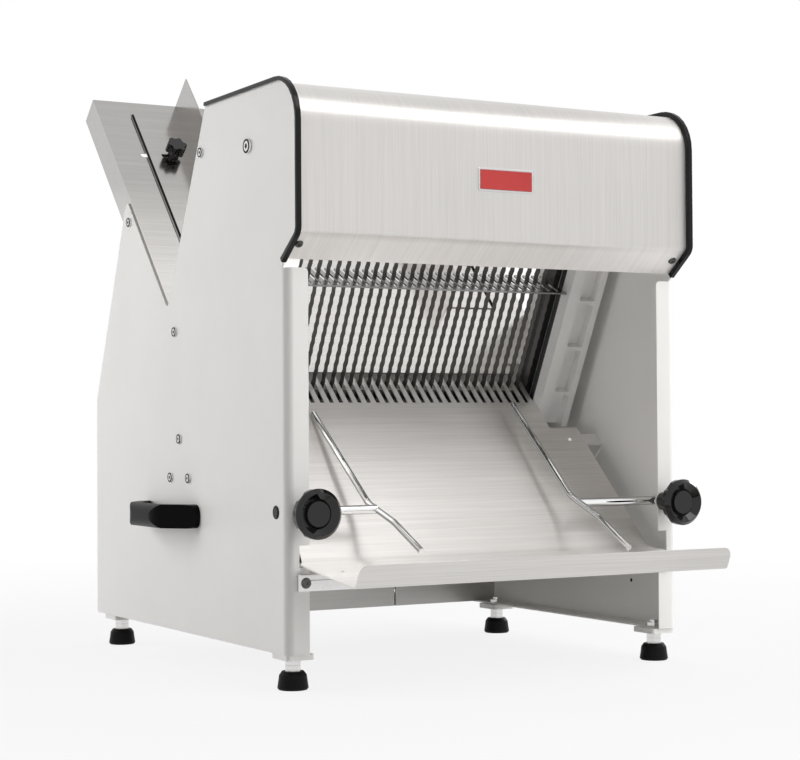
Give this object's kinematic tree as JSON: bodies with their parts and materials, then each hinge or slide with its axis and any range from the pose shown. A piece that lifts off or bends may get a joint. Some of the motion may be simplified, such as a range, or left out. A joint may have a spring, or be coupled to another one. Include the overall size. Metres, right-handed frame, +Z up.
{
  "type": "bread slicer machine",
  "caption": "Counter-top bread slicer with a row of scalloped reciprocating blades between an inclined infeed chute and an outfeed tray, in a light sheet-metal body.",
  "frame": {"origin": "centre of the part's bounding box, at table height under the feet", "axes": "+Z up, -Y towards the operator and the outfeed tray, +X to the right as the operator sees it"},
  "size_m": [0.604, 0.741, 0.7534],
  "materials": {
    "white_paint": "satin light grey powder coat",
    "stainless": "brushed stainless",
    "polished_stainless": "polished stainless",
    "blade_steel": "ground blade steel",
    "zinc": "zinc plated",
    "bright_steel": "bright drawn bar",
    "cast_aluminium": "satin",
    "cast_iron": "painted casting",
    "dark_motor": "dark grey housing",
    "black_rubber": "matt",
    "black_plastic": "fine grained",
    "green_plastic": "gloss",
    "red_plastic": "gloss"
  },
  "bodies": {
    "frame": {"left_side_panel": "white_paint", "right_side_panel": "white_paint", "rear_cover": "white_paint", "foot_plates": "white_paint", "hood": "stainless", "outfeed_chute": "stainless", "lower_comb": "stainless", "upper_comb": "stainless", "left_lower_panel": "stainless", "right_lower_panel": "stainless", "infeed_chute": "polished_stainless", "panel_screws": "zinc", "hood_screws": "zinc", "tie_bar_bolts": "zinc", "front_tie_bar": "zinc", "foot_studs": "zinc", "foot_nuts": "zinc", "motor_shelf": "zinc", "chute_brackets": "zinc", "chute_rivets": "zinc", "clamp_bushings": "zinc", "left_guide_rail": "cast_aluminium", "right_guide_rail": "cast_aluminium", "crank_bearings": "cast_iron", "motor": "dark_motor", "left_edge_trim": "black_rubber", "right_edge_trim": "black_rubber", "drive_belt": "black_rubber", "rubber_feet": "black_rubber", "left_handle": "black_plastic", "right_handle": "black_plastic", "cable_gland": "black_plastic", "switch_housing": "black_plastic"},
    "front_blade_set": {"front_blade_frame": "cast_aluminium", "front_blade_holders": "cast_aluminium", "front_blades": "blade_steel", "front_blade_pins": "bright_steel", "front_wrist_pins": "bright_steel"},
    "rear_blade_set": {"rear_blade_frame": "cast_aluminium", "rear_blade_holders": "cast_aluminium", "rear_blades": "blade_steel", "rear_blade_pins": "bright_steel", "rear_wrist_pins": "bright_steel"},
    "crank": {"crankshaft": "bright_steel", "crank_pulley": "cast_iron"},
    "front_rods": {"front_connecting_rods": "cast_aluminium"},
    "rear_rods": {"rear_connecting_rods": "cast_aluminium"},
    "motor_rotor": {"motor_pulley": "cast_iron"},
    "left_slice_holder": {"left_guide_rod": "bright_steel"},
    "right_slice_holder": {"right_guide_rod": "bright_steel"},
    "left_clamp": {"left_clamp_knob": "black_plastic"},
    "right_clamp": {"right_clamp_knob": "black_plastic"},
    "left_guide": {"left_loaf_guide": "polished_stainless"},
    "right_guide": {"right_loaf_guide": "polished_stainless"},
    "left_star": {"left_star_knob": "black_plastic"},
    "right_star": {"right_star_knob": "black_plastic"},
    "start": {"start_button": "green_plastic"},
    "stop": {"stop_button": "red_plastic"}
  },
  "joints": [
    {"name": "front_blade_stroke", "type": "slide", "parent": "frame", "child": "front_blade_set", "axis": [0, -0.4462, 0.8949], "range_m": [-0.01, 0.01]},
    {"name": "rear_blade_stroke", "type": "slide", "parent": "frame", "child": "rear_blade_set", "axis": [0, -0.4462, 0.8949], "range_m": [-0.01, 0.01]},
    {"name": "crank_turn", "type": "hinge", "parent": "frame", "child": "crank", "pos_m": [0, 0.04782, 0.23778], "axis": [1, 0, 0], "continuous": true},
    {"name": "front_rod_turn", "type": "hinge", "parent": "crank", "child": "front_rods", "pos_m": [0, 0.03888, 0.23332], "axis": [1, 0, 0], "continuous": true},
    {"name": "rear_rod_turn", "type": "hinge", "parent": "crank", "child": "rear_rods", "pos_m": [0, 0.05677, 0.24225], "axis": [1, 0, 0], "continuous": true},
    {"name": "motor_turn", "type": "hinge", "parent": "frame", "child": "motor_rotor", "pos_m": [0.175, 0.24304, 0.125], "axis": [1, 0, 0], "continuous": true},
    {"name": "left_holder_slide", "type": "slide", "parent": "frame", "child": "left_slice_holder", "axis": [1, 0, 0], "range_m": [-0.043, 0.012]},
    {"name": "right_holder_slide", "type": "slide", "parent": "frame", "child": "right_slice_holder", "axis": [-1, 0, 0], "range_m": [-0.043, 0.012]},
    {"name": "left_clamp_turn", "type": "hinge", "parent": "frame", "child": "left_clamp", "pos_m": [-0.241, -0.26696, 0.191], "axis": [0, -1, 0], "range_deg": [0, 180]},
    {"name": "right_clamp_turn", "type": "hinge", "parent": "frame", "child": "right_clamp", "pos_m": [0.241, -0.26696, 0.191], "axis": [0, -1, 0], "range_deg": [0, 180]},
    {"name": "left_guide_slide", "type": "slide", "parent": "frame", "child": "left_guide", "axis": [1, 0, 0], "range_m": [-0.035, 0.06]},
    {"name": "right_guide_slide", "type": "slide", "parent": "frame", "child": "right_guide", "axis": [-1, 0, 0], "range_m": [-0.035, 0.06]},
    {"name": "left_star_turn", "type": "hinge", "parent": "left_guide", "child": "left_star", "pos_m": [-0.17425, 0.26978, 0.64046], "axis": [0, -0.7396, 0.673], "range_deg": [0, 180]},
    {"name": "right_star_turn", "type": "hinge", "parent": "right_guide", "child": "right_star", "pos_m": [0.17425, 0.26978, 0.64046], "axis": [0, -0.7396, 0.673], "range_deg": [0, 180]},
    {"name": "start_press", "type": "slide", "parent": "frame", "child": "start", "axis": [-1, 0, 0], "range_m": [0, 0.003], "stiffness_N_per_m": 400, "springref_m": -0.002},
    {"name": "stop_press", "type": "slide", "parent": "frame", "child": "stop", "axis": [-1, 0, 0], "range_m": [0, 0.003], "stiffness_N_per_m": 400, "springref_m": -0.002}
  ],
  "couplings": [
    {"joint": "rear_blade_stroke", "follows": "front_blade_stroke", "ratio": -1},
    {"joint": "front_rod_turn", "follows": "crank_turn", "ratio": -1},
    {"joint": "rear_rod_turn", "follows": "crank_turn", "ratio": -1},
    {"joint": "motor_turn", "follows": "crank_turn", "ratio": 2.3942}
  ]
}
